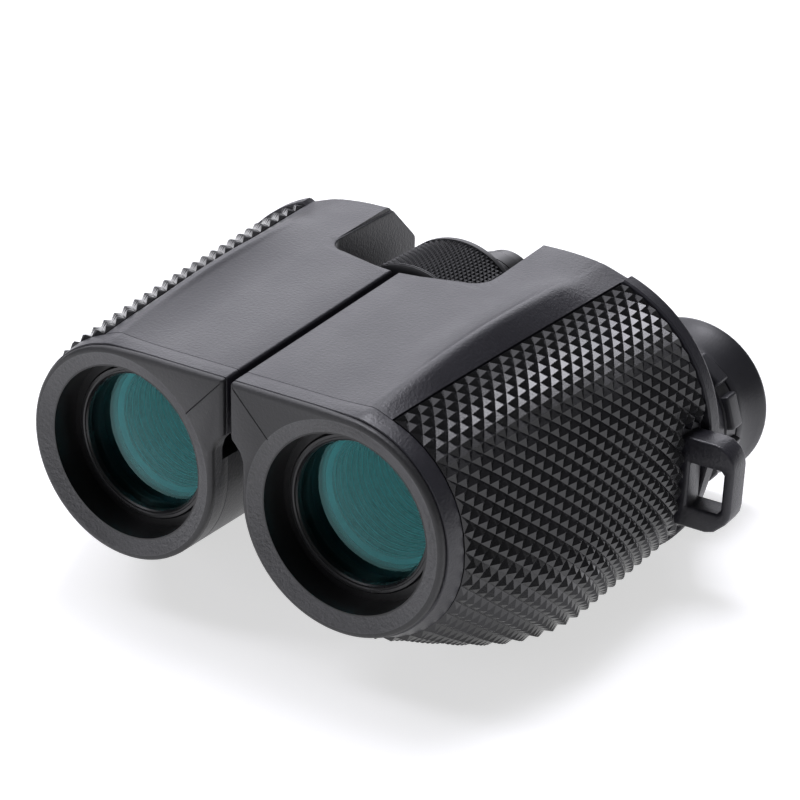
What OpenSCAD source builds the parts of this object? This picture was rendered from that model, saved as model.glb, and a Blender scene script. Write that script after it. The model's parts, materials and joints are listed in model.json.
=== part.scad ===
// Compact reverse-Porro binoculars with a centre focus wheel.
// Axes: X across (the user's left half is +X), Y from the objectives (front) to the
// eyepieces (rear), Z up. Distances are first laid out from the front rims and the
// objective axes; set_down() then moves everything so that the part stands on z = 0.

/* [Objectives] */
// Half the distance between the two objective axes
objective_half = 22.35; // [22.2:0.05:22.6]
// Outer radius of the front rim
rim_r = 19.3; // [19:0.1:19.4]
// Radius of the recess in the front cover
recess_r = 15.6; // [15.4:0.1:15.8]
// Clear radius of the objective lens
objective_clear_r = 12.5; // [12:0.1:12.6]

/* [Housing] */
// Distance from the front rims to the rear edge of the housings
housing_len = 72.85; // [72:0.05:74]
// Distance from the front rims to the rear face of the rear covers
cover_end = 82; // [81.5:0.1:82]
// Height of the top plate above the objective axes, at the front
top_front = 19.5; // [19.4:0.05:19.8]
// Rise of the top plate for each millimetre towards the rear
top_slope = 0.078; // [0.07:0.002:0.08]
// Thickness of the moulded walls
wall = 1.6; // [1.4:0.1:1.8]
// Gap from the middle plane to each half's inner top edge
middle_gap = 0.7; // [0.6:0.05:0.8]

/* [Eyepieces] */
// Sideways and downward offset from objective axis to eyepiece axis
prism_step = 11.7; // [11.6:0.05:11.8]
// Distance from the front rims to the rear edge of the eyecups
length = 104.6; // [104:0.1:106]
// Outer radius of the eyecup's rear edge
eyecup_r = 16.3; // [15.5:0.1:16.5]
// Outer radius of the sliding ocular barrel
ocular_r = 10.5; // [10.4:0.05:10.5]

/* [Centre] */
// Height of the hinge and focus axis above the objective axes
axis_z = 8.7; // [8.6:0.05:8.8]
// Outer radius of the focus wheel
wheel_r = 14.2; // [13.5:0.1:14.3]
// Radial clearance of every running fit
running = 0.05; // [0.03:0.01:0.08]

/* [Rubber grip] */
// Depth of the seat that the rubber lies in
seat_depth = 1; // [0.9:0.1:1.1]
// Height of the rubber pyramids above the housing skin
pyramid_h = 0.85; // [0.7:0.05:0.9]

/* [Hidden] */
$fn = 64;
eps = 0.01;

objective_at = [objective_half, 0];
eyepiece_at = [objective_half + prism_step, -prism_step];
shoulder_at = [objective_half + 3.15, -4];
eyepiece_shell_r = 17.9;
shoulder_r = 28.1;
bulge_end = 36;
ground = prism_step + eyepiece_shell_r + pyramid_h;

rubber_from = 4.6;
rubber_to = 70;
rubber_top = 72;
rubber_bottom = -118;
step = 0.12;

cover_t = 1.2;
cell_r = 15;
cell_front = 6.8;
cell_rear = 14;
lens_edge_r = 13.5;
lens_front = 7.65;
ring_gap = 0.25;

prism_half = prism_step / 2;
shelf_front = 57;
shelf_rear = 58;

notch_half = 16.5;
notch_r = 15;
notch_front = 49.3;
notch_corner = 4;
knuckle_r = 5.5;
pin_r = 2;
journal_r = 2.5;
spindle_r = 3;
sleeve_r = 5;
bridge_r = 7.2;
wheel_front = 54;
wheel_rear = 72.6;
bridge_front = 83.1;
bridge_rear = 86.5;
guide_r = 12;
clamp_r = 13.4;
ring_rear = 96;

skin = [0.16, 0.16, 0.17];
rubber = [0.06, 0.06, 0.07];
dark = [0.1, 0.1, 0.11];
metal = [0.7, 0.7, 0.72];
coated = [0.2, 0.55, 0.55, 0.5];
clear = [0.85, 0.9, 0.95, 0.4];

function clamp01(v) = min(1, max(0, v));
function mix(a, b, t) = a + (b - a) * t;

// How far the eyepiece side of the housing has swung out at distance y
function bulge(y) = pow(sin(90 * clamp01(y / bulge_end)), 1.3);
// How far the rear cover has closed in at distance y
function closing(y) = clamp01((y - housing_len) / (cover_end - housing_len));
function top_z(y) = top_front + top_slope * min(y, housing_len) - 8.3 * closing(y);
function ridge_x(y) = 25.2 + 3.9 * pow(clamp01(y / housing_len), 0.7);
function ridge_rise(y) = 2.2 * sin(180 * clamp01((y - 1) / 62))
  - 0.35 * (1 - clamp01(y / 3)) - 0.8 * clamp01((y - 58) / 9);

// The three circles whose hull is the section of one half at distance y
function barrel_circle(y) = [objective_at, rim_r - 6 * closing(y)];
function eyepiece_circle(y) = [
  mix(objective_at, eyepiece_at, bulge(y)),
  mix(rim_r, eyepiece_shell_r, bulge(y)) - 4.2 * closing(y)
];
function shoulder_circle(y) = [
  mix(objective_at, shoulder_at, clamp01(y / housing_len)),
  mix(rim_r, shoulder_r, pow(clamp01(y / housing_len), 0.8)) - 8.3 * closing(y)
];
function reach(c, n) = c[0] * n + c[1];
function touch(c, n, out) = c[0] + (c[1] + out) * n;
// Point of the hull whose outward normal stands at angle a, moved out by out
function hull_point(y, a, out) =
  let (n = [cos(a), sin(a)],
       b = barrel_circle(y), e = eyepiece_circle(y), s = shoulder_circle(y),
       rb = reach(b, n), re = reach(e, n), rs = a > -30 ? reach(s, n) : -99)
  rb >= re && rb >= rs ? touch(b, n, out) : re >= rs ? touch(e, n, out) : touch(s, n, out);

// Raised above the skin under the pyramids' height at the rear lip, sunk under the rubber
function seat_out(y) = y < rubber_from + eps ? 0
  : y < rubber_to + eps ? -seat_depth : pyramid_h * (1 - closing(y));

grip_angles = [for (a = [rubber_top - 1 : -9 : rubber_bottom + 1]) a];
under_angles = [for (a = [rubber_bottom - 2 : -10 : -178]) a];

// Section of one half, clockwise seen from the front; inset thins it to the inner wall,
// and seat is how far the band under the rubber stands out from the skin
function section(y, inset, seat) =
  let (xr = ridge_x(y), z = top_z(y) - inset, rise = ridge_rise(y), x0 = middle_gap + inset)
  concat(
    [[x0, z], [8, z], [xr - 8, z], [xr - 5, z + 0.12 * rise], [xr - 3, z + 0.4 * rise],
     [xr - 1.2, z + 0.75 * rise], [xr - 0.4 * inset, z + rise]],
    [hull_point(y, rubber_top, -inset)],
    [for (a = grip_angles) hull_point(y, a, seat - inset)],
    [for (a = under_angles) hull_point(y, a, -inset)],
    [[objective_half - rim_r + inset, 6 - closing(y)], [1.5 + inset, 8.8], [x0, 9.6 + inset]]
  );

function outer_rings(list) = [for (y = list) [for (p = section(y, 0, seat_out(y))) [p.x, y, p.y]]];
function inner_rings(list) = [for (y = list) [for (p = section(y, wall, -seat_depth)) [p.x, y, p.y]]];

// Closed solid through a list of rings that have the same number of points
module loft(r) {
  n = len(r[0]);
  m = len(r);
  sides = [for (i = [0 : m - 2], k = [0 : n - 1])
    let (a = i * n + k, b = i * n + (k + 1) % n) each [[a, a + n, b + n], [a, b + n, b]]];
  polyhedron(
    points = [for (ring = r) each ring],
    faces = concat([[for (k = [0 : n - 1]) k]], sides, [[for (k = [n - 1 : -1 : 0]) (m - 1) * n + k]]),
    convexity = 6
  );
}

// A moulded shell, taken whole as one closed mesh; nothing turns or slides in it
shell_sides = 32;
module moulded() resize([0, 0, 0]) {
  $fn = shell_sides;
  children();
}
// Radius of a hole cut in a moulded shell so that its flats clear a round part of radius r
function around(r) = r / cos(180 / shell_sides) + eps;

module set_down() translate([0, -length / 2, ground]) children();
module left() set_down() children();
module right() set_down() mirror([1, 0, 0]) children();
// Turns a shape made along Z to lie along Y, at an axis point and a distance from the front
module along(at, y) translate([at.x, y, at.y]) rotate([-90, 0, 0]) children();
module tube(at, y0, y1, r_out, r_in) along(at, y0) difference() {
  cylinder(h = y1 - y0, r = r_out);
  translate([0, 0, -1]) cylinder(h = y1 - y0 + 2, r = r_in);
}
module rod(at, y0, y1, r) along(at, y0) cylinder(h = y1 - y0, r = r);
module turned(at, y) along(at, y) rotate_extrude() children();

centre_at = [0, axis_z];

// Space around the focus wheel, open at the rear and on top; grow makes its lining
module wheel_notch(grow) {
  w = notch_half + grow;
  c = w - notch_corner;
  translate([0, 0, axis_z - 2 * grow]) linear_extrude(40) polygon(concat(
    [[-w, length], [-w, 56]],
    [for (a = [180 : 15 : 270]) [-c + notch_corner * cos(a), 56 - grow + notch_corner * sin(a)]],
    [[0, notch_front - grow]],
    [for (a = [270 : 15 : 360]) [c + notch_corner * cos(a), 56 - grow + notch_corner * sin(a)]],
    [[w, 56], [w, length]]
  ));
  rod(centre_at, 51.5 - grow, length, notch_r + grow);
}

outer_stations = [1.25, 2.6, rubber_from, rubber_from + step, 8, 12, 17, 22, 28, 36, 46, 56,
                  64, rubber_to, rubber_to + step, housing_len];
inner_stations = [cell_rear, 20, 28, 38, 52, 64, housing_len + 1];

module screw_post(at, toward) {
  rod(at, 61, housing_len, 2.3);
  translate([min(at.x, toward), 61, at.y - 1]) cube([abs(toward - at.x), housing_len - 61, 2]);
}

screw_posts = [[22.5, 10.5], [40, 3.6]];

module housing(own, other) {
  color(skin) moulded() difference() {
    union() {
      difference() {
        loft(outer_rings(outer_stations));
        difference() {
          loft(inner_rings(inner_stations));
          wheel_notch(1.5);
          rod(centre_at, 5, 51, knuckle_r + 2);
          screw_post(screw_posts[0], 15.6);
          screw_post(screw_posts[1], 51);
        }
      }
    }
    wheel_notch(0);
    rod(objective_at, 1, cell_front, recess_r + wall + running);
    rod(objective_at, cell_front - 1, cell_rear + 1, around(cell_r));
    for (s = own) rod(centre_at, s[0], s[1], around(knuckle_r));
    for (s = other) rod(centre_at, s[0], s[1], knuckle_r + 0.4);
    for (p = screw_posts) rod(p, 66, housing_len + 1, around(1));
  }
}

knuckles_a = [[8, 18], [37, 50]];
knuckles_b = [[18.5, 36.5]];
gap_a = [[0, 8], [18, 37], [50, 52]];
gap_b = [[0, 18.5], [36.5, 52]];

module housing_right() right() housing(knuckles_a, gap_a);
module housing_left() left() housing(knuckles_b, gap_b);

// Front plate with the sloping rim band and the recess tube behind it
module front_cover() color(skin) moulded() {
  stations = [[0, 0.7], [0.3, 0.25], [0.8, 0.02]];
  plate = [for (s = concat(stations, [[cover_t, 0.02]]))
    [for (p = section(0, s[1], 0)) [p.x, s[0], p.y]]];
  difference() {
    union() {
      loft(plate);
      rod(objective_at, cover_t - eps, cell_front - 0.1, recess_r + wall);
    }
    rod(objective_at, -1, cell_front + 1, recess_r);
    along(objective_at, -0.2) cylinder(h = 1.3, r1 = 18.5, r2 = recess_r - 0.1);
  }
}

rear_stations = [housing_len, 75.6, 78.2, 80.6, cover_end];
rear_inner = [housing_len - 0.5, 75.2, 77.6, 80.3];

module rear_cover() color(skin) moulded() difference() {
  union() {
    difference() {
      loft(outer_rings(rear_stations));
      difference() {
        loft(inner_rings(rear_inner));
        wheel_notch(1.5);
      }
    }
    tube(eyepiece_at, 74, cover_end - eps, guide_r + 1.3, guide_r);
  }
  wheel_notch(0);
  rod(eyepiece_at, 70, cover_end + 1, around(guide_r));
  for (p = screw_posts) {
    rod(p, 70, cover_end + 1, around(1));
    rod(p, 80.9 - eps, cover_end + 1, around(2));
  }
}

module cover_screws() color(metal) for (p = screw_posts) along(p, 0) difference() {
  union() {
    translate([0, 0, 67]) cylinder(h = 14, r = 1);
    translate([0, 0, 80.9]) cylinder(h = 1.1, r = 2);
  }
  translate([-1.4, -0.25, 81.5]) cube([2.8, 0.5, 1]);
  translate([-0.25, -1.4, 81.5]) cube([0.5, 2.8, 1]);
}

// Rubber sleeve from the top band round the outside to the underside
module rubber_grip() color(rubber) moulded() {
  stations = [4.8, 8, 12, 17, 22, 28, 36, 46, 56, 64, rubber_to - 0.1];
  difference() {
    loft([for (y = stations) concat(
      [for (a = grip_angles) let (p = hull_point(y, a, pyramid_h)) [p.x, y, p.y]],
      [for (i = [len(grip_angles) - 1 : -1 : 0])
        let (p = hull_point(y, grip_angles[i], -seat_depth + 0.05)) [p.x, y, p.y]]
    )]);
    translate([44, 62.6, -18.5]) cube([20, 20, 20]);
  }
}

// Strap lug: a flat loop across the view, rooted in the housing's side
module strap_lug() color(skin) difference() {
  translate([0, 69.4, 0]) rotate([90, 0, 0]) linear_extrude(5.4) difference() {
    union() {
      translate([50, -17.6]) square([7.5, 17.4]);
      translate([50, -13.6]) square([11.5, 9.6]);
      translate([57.5, -4.2]) circle(r = 4);
      translate([57.5, -13.6]) circle(r = 4);
    }
    translate([53, -13.4]) square([6.6, 8.4]);
  }
  loft(outer_rings(outer_stations));
}

module retaining_ring() color(dark) along(objective_at, 5.9) difference() {
  cylinder(h = lens_front - ring_gap - 5.9, r = 14.05);
  translate([0, 0, -1]) cylinder(h = 4, r = objective_clear_r);
  for (a = [0, 180]) rotate(a) translate([13.4, -0.6, -1]) cube([2, 1.2, 1.8]);
}

// Heights of a spherical lens surface above its edge plane
function cap(r_edge, sag, r) = let (k = (r_edge * r_edge + sag * sag) / (2 * sag))
  sqrt(k * k - r * r) - (k - sag);
function arc_points(r_edge, sag, h, sign) =
  [for (i = [0 : 8]) let (r = r_edge * i / 8) [r, h + sign * cap(r_edge, sag, r)]];
function backwards(v) = [for (i = [len(v) - 1 : -1 : 0]) v[i]];

module lens(at, y, r_edge, thick, front_sag, rear_sag) turned(at, y) polygon(concat(
  arc_points(r_edge, front_sag, 0, -1),
  backwards(arc_points(r_edge, rear_sag, thick, 1))
));

module crown_lens() color(coated)
  lens(objective_at, lens_front + eps, lens_edge_r, 1.6, 1.5, 1.3);
module flint_lens() color(clear) difference() {
  rod(objective_at, lens_front + 1.64, cell_front + 5.4, lens_edge_r);
  lens(objective_at, lens_front + 0.04, lens_edge_r + 0.01, 1.6, 1.5, 1.3);
}

module objective_cell() color(dark) difference() {
  rod(objective_at, cell_front, cell_rear, cell_r);
  rod(objective_at, cell_front - 1, lens_front, 14.05);
  rod(objective_at, lens_front - 1, cell_front + 5.4, lens_edge_r);
  rod(objective_at, cell_front, cell_rear + 1, 12);
}

// Baffle tube with fine V ribs that catch stray light
module baffle_tube() color(dark) turned(objective_at, cell_rear) polygon(concat(
  [[13.4, 0], [13.4, 22], [10.6, 22]],
  [for (i = [10 : -1 : 0]) each [[10.7, 2 + 1.8 * i + 1], [11.6, 2 + 1.8 * i]]],
  [[10.9, 1], [11.4, 0]]
));

prism_w = 11.6;
// Right-angle prism standing on its long face, roof edge pointing up, chamfered
module prism_body() {
  h = 2 * prism_half;
  translate([0, prism_w / 2, 0]) rotate([90, 0, 0]) linear_extrude(prism_w) polygon([
    [-h + 0.5, 0], [h - 0.5, 0], [h, 0.5], [h, 0.6], [0.5, h - 0.1], [-0.5, h - 0.1],
    [-h, 0.6], [-h, 0.5]
  ]);
}
module on_rear_prism() translate([objective_half, shelf_rear, -prism_half])
  rotate([-90, 90, 0]) children();
module on_front_prism() translate([objective_half + prism_half, shelf_front, -prism_step])
  rotate([90, 0, 0]) children();

module rear_prism() color(clear) on_rear_prism() prism_body();
module front_prism() color(clear) on_front_prism() prism_body();

module prism_shelf() color(metal) difference() {
  union() {
    translate([objective_half - 5.7, shelf_front, -prism_step - 5.7])
      cube([11.4, shelf_rear - shelf_front, prism_step + 11.4]);
    translate([objective_half - 5.7, shelf_front, -prism_step - 5.7])
      cube([prism_step + 11.4, shelf_rear - shelf_front, 11.4]);
    translate([45, shelf_front, -14]) cube([4, shelf_rear - shelf_front, 5]);
    translate([38, shelf_front, -14]) cube([8, shelf_rear - shelf_front, 5]);
  }
  rod(objective_at, 50, 60, 5);
  rod([objective_half, -prism_step], 50, 60, 5);
  rod(eyepiece_at, 50, 60, 5);
}

// Bent spring strip over a prism's roof
module prism_clip() {
  h = 2 * prism_half;
  t = 0.4;
  translate([0, 2, 0]) rotate([90, 0, 0]) linear_extrude(4) polygon([
    [-h - 0.1, 0.7], [-0.55, h + 0.05], [0.55, h + 0.05], [h + 0.1, 0.7],
    [h + 0.1 + t, 0.9], [0.8, h + 0.05 + t], [-0.8, h + 0.05 + t], [-h - 0.1 - t, 0.9]
  ]);
}
module prism_clips() color(metal) {
  on_rear_prism() prism_clip();
  on_front_prism() prism_clip();
}

module guide_tube() color(dark) difference() {
  union() {
    tube(eyepiece_at, 72, cover_end, guide_r, ocular_r + running);
    tube(eyepiece_at, 72, 73.4, guide_r + 0.9, ocular_r + running);
  }
}

module ocular_barrel() color(dark) {
  tube(eyepiece_at, 76, 97, ocular_r, 9.3);
  tube(eyepiece_at, 76, 76.8, 9.4, 5.2);
}
module lens_cell() color(dark) {
  tube(eyepiece_at, 78, 96.6, 9.25, 8.5);
  tube(eyepiece_at, 78, 79.6, 8.6, 7);
  tube(eyepiece_at, 86, 87, 8.6, 7.6);
}
module field_lens() color(clear) lens(eyepiece_at, 81.3, 8.5, 2.2, 0.1, 1.7);
module eye_lens() color(coated) lens(eyepiece_at, 89.6, 8.5, 1.6, 1.9, 1.2);
module lens_retainer() color(dark) tube(eyepiece_at, 92.8, 94.2, 8.5, 7.6);

ring_front = 91.4;
// Grip ring of the eyecup with broad raised blocks
module eyecup_ring() color(skin) difference() {
  union() {
    rod(eyepiece_at, ring_front, ring_rear, 14);
    for (a = [0 : 36 : 324]) translate([eyepiece_at.x, 0, eyepiece_at.y]) rotate([0, a, 0])
      translate([-3.2, ring_front + 0.4, 12]) cube([6.4, 3.9, 3]);
  }
  rod(eyepiece_at, 90, 97, ocular_r + running);
}

// Flared eyecup; its inner sleeve runs over the ocular barrel
module eyecup() color(skin) turned(eyepiece_at, ring_rear + 0.1) polygon([
  [ocular_r + running, 0], [14.2, 0], [14.3, 1.6], [14.6, 3.2], [15.2, 5], [eyecup_r - 0.1, 7.4],
  [eyecup_r, 8], [eyecup_r - 0.5, 8.5], [14.6, 8.5], [13.4, 6.5], [12.2, 3.4], [ocular_r + running, 2.4]
]);

module dioptre_ring() color(skin) difference() {
  union() {
    rod(eyepiece_at, 87, 91, 13.6);
    for (a = [0 : 15 : 345]) translate([eyepiece_at.x, 0, eyepiece_at.y]) rotate([0, a, 0])
      translate([-0.7, 87.5, 12.5]) cube([1.4, 3, 1.7]);
  }
  rod(eyepiece_at, 80, 99, ocular_r + running);
}
module barrel_collar() color(skin) tube(eyepiece_at, 87, 91, 13.6, ocular_r);

module hinge_knuckles_right() color(dark) for (s = knuckles_a)
  tube(centre_at, s[0], s[1], knuckle_r, s[1] > 40 ? journal_r + running : pin_r);
module hinge_knuckle_left() color(dark)
  tube(centre_at, knuckles_b[0][0], knuckles_b[0][1], knuckle_r, pin_r + running);
module hinge_pin() color(metal) difference() {
  union() {
    rod(centre_at, 7.2, 44, pin_r);
    rod(centre_at, 6, 8, 4);
    rod(centre_at, 37.2, 44, journal_r);
  }
  translate([-2.6, 5, axis_z - 0.4]) cube([5.2, 1.8, 0.8]);
}
module hinge_washers() color(metal) for (y = [18.1, 36.6])
  tube(centre_at, y, y + 0.3, knuckle_r - 0.3, pin_r + running);

module wheel_tyre() color(rubber) tube(centre_at, wheel_front, wheel_rear, wheel_r, 12);
module wheel_core() color(dark) {
  tube(centre_at, wheel_front + 0.6, wheel_rear - 0.6, 12, 10.2);
  tube(centre_at, 61, 65, 10.3, 5.9);
  tube(centre_at, wheel_front + 0.6, wheel_rear - 0.6, 6, spindle_r);
}
module focus_spindle() color(metal) {
  rod(centre_at, 44.6, 51, journal_r);
  rod(centre_at, 50.6, 84.5, spindle_r);
}

// Arm from the centre ring to the clamp round the ocular barrel
module bridge_arm(clear_r) {
  arm = norm([eyepiece_at.x, eyepiece_at.y - axis_z]);
  tilt = atan2(axis_z - eyepiece_at.y, eyepiece_at.x);
  difference() {
    union() {
      translate([0, bridge_front, axis_z]) rotate([0, tilt, 0]) translate([0, 0, -4])
        cube([arm - 10, bridge_rear - bridge_front, 8]);
      rod(eyepiece_at, bridge_front, bridge_rear, clamp_r);
    }
    rod(centre_at, bridge_front - 1, bridge_rear + 1, clear_r);
    rod(eyepiece_at, bridge_front - 1, bridge_rear + 1, ocular_r);
  }
}
module bridge_right() right() color(dark) {
  tilt = atan2(axis_z - eyepiece_at.y, eyepiece_at.x);
  bridge_arm(bridge_r + 0.4);
  tube(centre_at, 75, 88, sleeve_r, spindle_r + running);
  tube(centre_at, 79.3, 82.8, bridge_r, sleeve_r - 1);
  translate([0, 79.3, axis_z]) rotate([0, tilt, 0]) difference() {
    translate([bridge_r - 0.8, 0.3, -3]) cube([6, bridge_rear - 79.9, 6]);
    translate([0, bridge_front - 79.5, 0]) rotate([-90, 0, 0])
      cylinder(h = 10, r = bridge_r + 0.5);
  }
}
module bridge_left() left() color(dark) {
  bridge_arm(bridge_r - 1);
  tube(centre_at, bridge_front, bridge_rear, bridge_r, sleeve_r + running);
}
module bridge_cap() set_down() color(dark) {
  tube(centre_at, 86.8, 89.6, 6.6, sleeve_r);
  rod(centre_at, 88, 89.6, 6.4);
}

housing_right();
housing_left();
right() front_cover();  // front_cover_right
left() front_cover();  // front_cover_left
right() rear_cover();  // rear_cover_right
left() rear_cover();  // rear_cover_left
right() rubber_grip();  // rubber_grip_right
left() rubber_grip();  // rubber_grip_left
right() strap_lug();  // strap_lug_right
left() strap_lug();  // strap_lug_left
right() retaining_ring();  // retaining_ring_right
left() retaining_ring();  // retaining_ring_left
right() crown_lens();  // crown_lens_right
left() crown_lens();  // crown_lens_left
right() flint_lens();  // flint_lens_right
left() flint_lens();  // flint_lens_left
right() objective_cell();  // objective_cell_right
left() objective_cell();  // objective_cell_left
right() baffle_tube();  // baffle_tube_right
left() baffle_tube();  // baffle_tube_left
right() front_prism();  // front_prism_right
left() front_prism();  // front_prism_left
right() rear_prism();  // rear_prism_right
left() rear_prism();  // rear_prism_left
right() prism_shelf();  // prism_shelf_right
left() prism_shelf();  // prism_shelf_left
right() prism_clips();  // prism_clips_right
left() prism_clips();  // prism_clips_left
right() guide_tube();  // guide_tube_right
left() guide_tube();  // guide_tube_left
right() cover_screws();  // cover_screws_right
left() cover_screws();  // cover_screws_left
right() ocular_barrel();  // ocular_barrel_right
left() ocular_barrel();  // ocular_barrel_left
right() lens_cell();  // lens_cell_right
left() lens_cell();  // lens_cell_left
right() field_lens();  // field_lens_right
left() field_lens();  // field_lens_left
right() eye_lens();  // eye_lens_right
left() eye_lens();  // eye_lens_left
right() lens_retainer();  // lens_retainer_right
left() lens_retainer();  // lens_retainer_left
right() eyecup_ring();  // eyecup_ring_right
left() eyecup_ring();  // eyecup_ring_left
right() eyecup();  // eyecup_right
left() eyecup();  // eyecup_left
right() dioptre_ring();
left() barrel_collar();
set_down() hinge_knuckles_right();
set_down() hinge_knuckle_left();
set_down() hinge_pin();
set_down() hinge_washers();
set_down() wheel_tyre();
set_down() wheel_core();
set_down() focus_spindle();
bridge_right();
bridge_left();
bridge_cap();
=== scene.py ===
import json
import math

import bmesh
import bpy
from mathutils import Matrix, Vector

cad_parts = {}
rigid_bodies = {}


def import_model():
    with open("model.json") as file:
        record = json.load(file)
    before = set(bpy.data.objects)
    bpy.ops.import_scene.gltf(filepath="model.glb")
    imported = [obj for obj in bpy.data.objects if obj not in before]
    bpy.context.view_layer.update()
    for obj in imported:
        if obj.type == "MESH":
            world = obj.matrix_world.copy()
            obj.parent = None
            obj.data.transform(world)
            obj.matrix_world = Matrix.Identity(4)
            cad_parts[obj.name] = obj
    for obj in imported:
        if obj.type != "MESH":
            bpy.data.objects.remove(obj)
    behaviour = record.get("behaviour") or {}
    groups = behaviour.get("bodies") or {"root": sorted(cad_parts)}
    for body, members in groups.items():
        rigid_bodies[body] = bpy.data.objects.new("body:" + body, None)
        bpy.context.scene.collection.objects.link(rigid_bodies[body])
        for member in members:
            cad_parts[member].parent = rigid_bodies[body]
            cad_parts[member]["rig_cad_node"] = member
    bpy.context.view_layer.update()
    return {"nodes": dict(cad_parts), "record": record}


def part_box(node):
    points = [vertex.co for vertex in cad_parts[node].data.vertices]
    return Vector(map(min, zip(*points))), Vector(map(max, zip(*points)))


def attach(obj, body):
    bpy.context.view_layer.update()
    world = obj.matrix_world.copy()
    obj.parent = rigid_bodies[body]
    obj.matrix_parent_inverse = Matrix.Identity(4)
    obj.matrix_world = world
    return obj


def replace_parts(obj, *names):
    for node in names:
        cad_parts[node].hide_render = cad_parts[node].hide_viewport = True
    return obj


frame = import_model()
for stray in [o for o in bpy.data.objects if "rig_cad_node" not in o and not o.name.startswith("body:")]:
    bpy.data.objects.remove(stray)
print("frame loaded")

mm = 0.001
sides = {"left": 1, "right": -1}


def middle(node):
    low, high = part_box(node)
    return (low + high) / 2


# Driving sizes in mm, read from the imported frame
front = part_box("front_cover_left")[0].y
lensMiddle = middle("crown_lens_left")
cupMiddle = middle("eyecup_left")
wheelLow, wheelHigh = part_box("wheel_tyre")
wheelMiddle = (wheelLow + wheelHigh) / 2
objective = (lensMiddle.x / mm, 0.0)
eyepiece = (cupMiddle.x / mm, (cupMiddle.z - lensMiddle.z) / mm)
centre = (0.0, (wheelMiddle.z - lensMiddle.z) / mm)
wheelRadius = (wheelHigh.z - wheelLow.z) / 2 / mm
wheelFront, wheelRear = (wheelLow.y - front) / mm, (wheelHigh.y - front) / mm
shellRear = (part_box("housing_left")[1].y - front) / mm
coverRear = (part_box("rear_cover_left")[1].y - front) / mm


def place(x, y, z):
    return Vector((x * mm, front + y * mm, lensMiddle.z + z * mm))


# Sizes of one half's body in mm; the rear end closes by rimClose, eyeClose, shoulderClose and topClose
shell = {
    "rimRadius": 19.3, "eyeRadius": 17.9, "shoulder": (25.5, -4.0), "shoulderRadius": 28.1,
    "rimClose": 6.0, "eyeClose": 4.2, "shoulderClose": 8.3, "topClose": 8.3,
    "bulgeEnd": 36.0, "topFront": 19.5, "topSlope": 0.078, "gap": 0.7, "seat": 1.0, "studs": 0.85,
    "gripTo": 70.0, "gripTop": 72.0, "gripBottom": -118.0, "bandSteps": 62,
}
ridge = {"across": 25.2, "spread": 3.9, "rise": 2.2, "from": 1.0, "length": 62.0}


def clamp01(v):
    return min(1.0, max(0.0, v))


def mix(a, b, t):
    return a + (b - a) * t


def mixPoint(a, b, t):
    return (mix(a[0], b[0], t), mix(a[1], b[1], t))


def closing(y):
    return clamp01((y - shellRear) / (coverRear - shellRear))


def topHeight(y):
    return shell["topFront"] + shell["topSlope"] * min(y, shellRear) - shell["topClose"] * closing(y)


def ridgeAcross(y):
    return ridge["across"] + ridge["spread"] * clamp01(y / shellRear) ** 0.7


def ridgeRise(y):
    rise = ridge["rise"] * math.sin(math.pi * clamp01((y - ridge["from"]) / ridge["length"]))
    return rise - 0.35 * (1 - clamp01(y / 3)) - 0.8 * clamp01((y - 58) / 9)


# The three circles, each as centre and radius, whose hull is the body's outline at y
def circlesAt(y):
    bulge = math.sin(math.pi / 2 * clamp01(y / shell["bulgeEnd"])) ** 1.3
    t, shut = clamp01(y / shellRear), closing(y)
    rim = shell["rimRadius"]
    eyeRadius = mix(rim, shell["eyeRadius"], bulge) - shell["eyeClose"] * shut
    shoulderRadius = mix(rim, shell["shoulderRadius"], t ** 0.8) - shell["shoulderClose"] * shut
    return (
        (objective, rim - shell["rimClose"] * shut),
        (mixPoint(objective, eyepiece, bulge), eyeRadius),
        (mixPoint(objective, shell["shoulder"], t), shoulderRadius),
    )


def hullPoint(circles, degrees, out):
    a = math.radians(degrees)
    n = (math.cos(a), math.sin(a))
    used = circles if degrees > -30 else circles[:2]
    best = max(used, key=lambda c: c[0][0] * n[0] + c[0][1] * n[1] + c[1])
    return (best[0][0] + (best[1] + out) * n[0], best[0][1] + (best[1] + out) * n[1])


# Outline of one half at y: the top with its ridge, the band under the grip, and the inner foot
def sectionAt(y, inset, seat):
    circles = circlesAt(y)
    across, rise = ridgeAcross(y), ridgeRise(y)
    z, x0 = topHeight(y) - inset, shell["gap"] + inset
    points = [(x0, z - 0.5), (x0 + 0.07, z - 0.24), (x0 + 0.24, z - 0.07), (x0 + 0.5, z)]
    points += [(7.0, z), (12.0, z)]
    for i in range(11):
        s = i / 10
        points.append((across - 9.5 + 8.1 * s, z + rise * (0.86 * s) ** 1.9))
    points.append((across - 1.0, z + rise * 0.88))
    edge = hullPoint(circles, shell["gripTop"], -inset)
    crest = (across - 0.2 * inset, z + rise)
    near = points.pop()
    far = mixPoint(crest, edge, min(0.45, 1.5 / max(0.1, math.dist(crest, edge))))
    near = mixPoint(crest, near, min(1.0, 1.4 / max(0.1, math.dist(crest, near))))
    for i in range(7):
        t = i / 6
        points.append(mixPoint(mixPoint(near, crest, t), mixPoint(crest, far, t), t))
    points += [mixPoint(far, edge, 0.5), edge]
    for i in range(shell["bandSteps"] + 1):
        a = mix(shell["gripTop"] - 1, shell["gripBottom"] + 1, i / shell["bandSteps"])
        points.append(hullPoint(circles, a, seat - inset))
    for i in range(13):
        points.append(hullPoint(circles, shell["gripBottom"] - 1 - i * 4.9, -inset))
    foot = objective[0] - shell["rimRadius"] + inset
    points += [(foot, 6 - closing(y)), (2.5 + inset * 0.9, 7.6), (1.5 + inset, 8.8)]
    points += [(x0 + 0.1, 9.5), (x0, 10.2)]
    return points


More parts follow.
